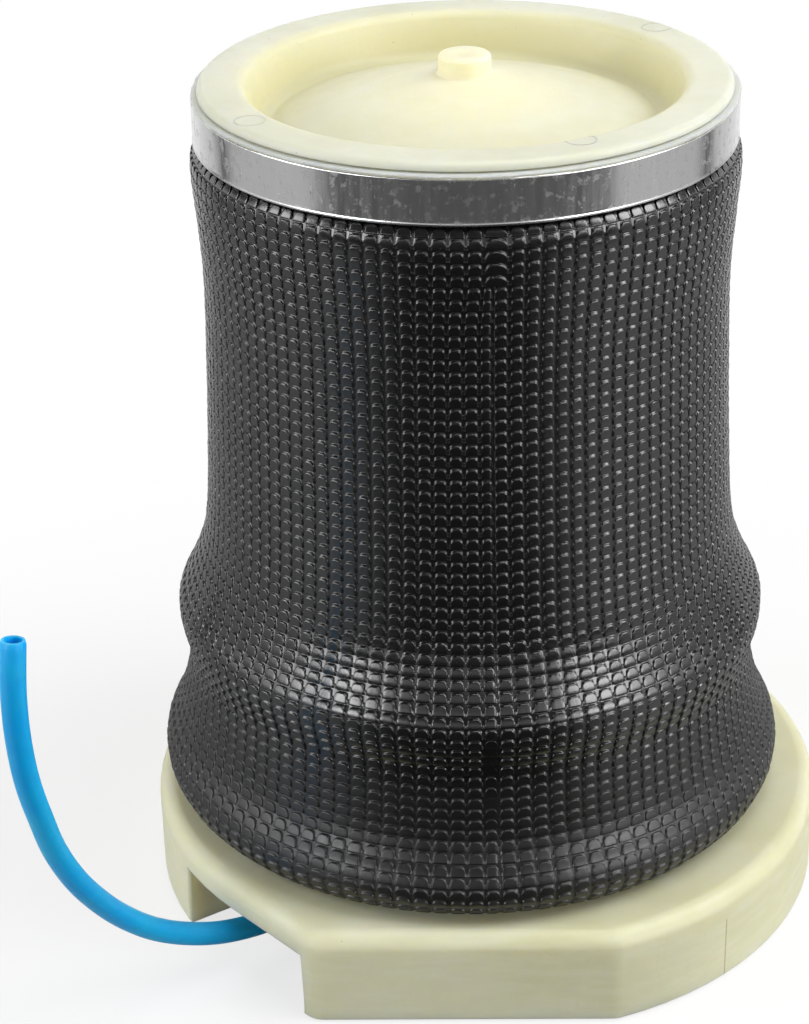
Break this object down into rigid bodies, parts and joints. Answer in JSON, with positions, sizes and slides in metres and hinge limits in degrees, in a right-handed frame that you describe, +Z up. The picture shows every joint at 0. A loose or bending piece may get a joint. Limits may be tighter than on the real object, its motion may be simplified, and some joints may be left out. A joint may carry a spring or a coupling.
{
  "type": "air suspension spring",
  "caption": "Rolling sleeve air spring for a vehicle seat: nylon cap with a centre peg, crimped rubber sleeve, nylon base with a flat front, and an air hose from its fitting.",
  "frame": {"origin": "on the spring's axis, at the level of the base plate's underside", "axes": "+Z up along the stroke, from the base to the cap; -Y towards the base plate's flat front face; +X to the right seen from that face"},
  "size_m": [0.1999, 0.2049, 0.2261],
  "materials": {
    "cream_nylon": "satin, slightly translucent moulded nylon with fine scuffs",
    "crimp_aluminium": "satin rolled sheet with fine upright scratches",
    "black_rubber": "satin, moulded with rows of small rounded pads",
    "steel": "zinc plated",
    "brass": "turned",
    "sintered_bronze": "porous",
    "red_seal": "smooth",
    "black_seal": "smooth",
    "black_plastic": "glass filled nylon",
    "blue_plastic": "smooth",
    "blue_hose": "satin extruded polyamide"
  },
  "bodies": {
    "base": {"sleeve": "black_rubber", "bottom_crimp_ring": "crimp_aluminium", "piston": "cream_nylon", "bump_stop": "black_rubber", "bump_spacer": "steel", "bump_washer": "steel", "bump_screw": "steel", "screw_insert": "brass", "base_plate": "cream_nylon", "piston_screws": "steel", "piston_washers": "steel", "base_inserts": "brass", "port_insert": "brass", "port_filter": "sintered_bronze", "port_seal": "red_seal", "elbow_stem": "brass", "stem_o_ring": "black_seal", "elbow_body": "black_plastic", "tube_seal": "black_seal", "grab_ring": "steel", "cartridge_sleeve": "brass", "hose": "blue_hose"},
    "cap": {"top_cap": "cream_nylon", "top_crimp_ring": "crimp_aluminium"},
    "collet": {"release_collet": "blue_plastic"}
  },
  "joints": [
    {"name": "stroke", "type": "slide", "parent": "base", "child": "cap", "axis": [0, 0, 1], "range_m": [-0.1, 0.01], "stiffness_N_per_m": 10000, "deforming": ["sleeve"]},
    {"name": "collet_press", "type": "slide", "parent": "base", "child": "collet", "axis": [0.829, 0.5592, 0], "range_m": [0, 0.0012], "stiffness_N_per_m": 1500}
  ]
}
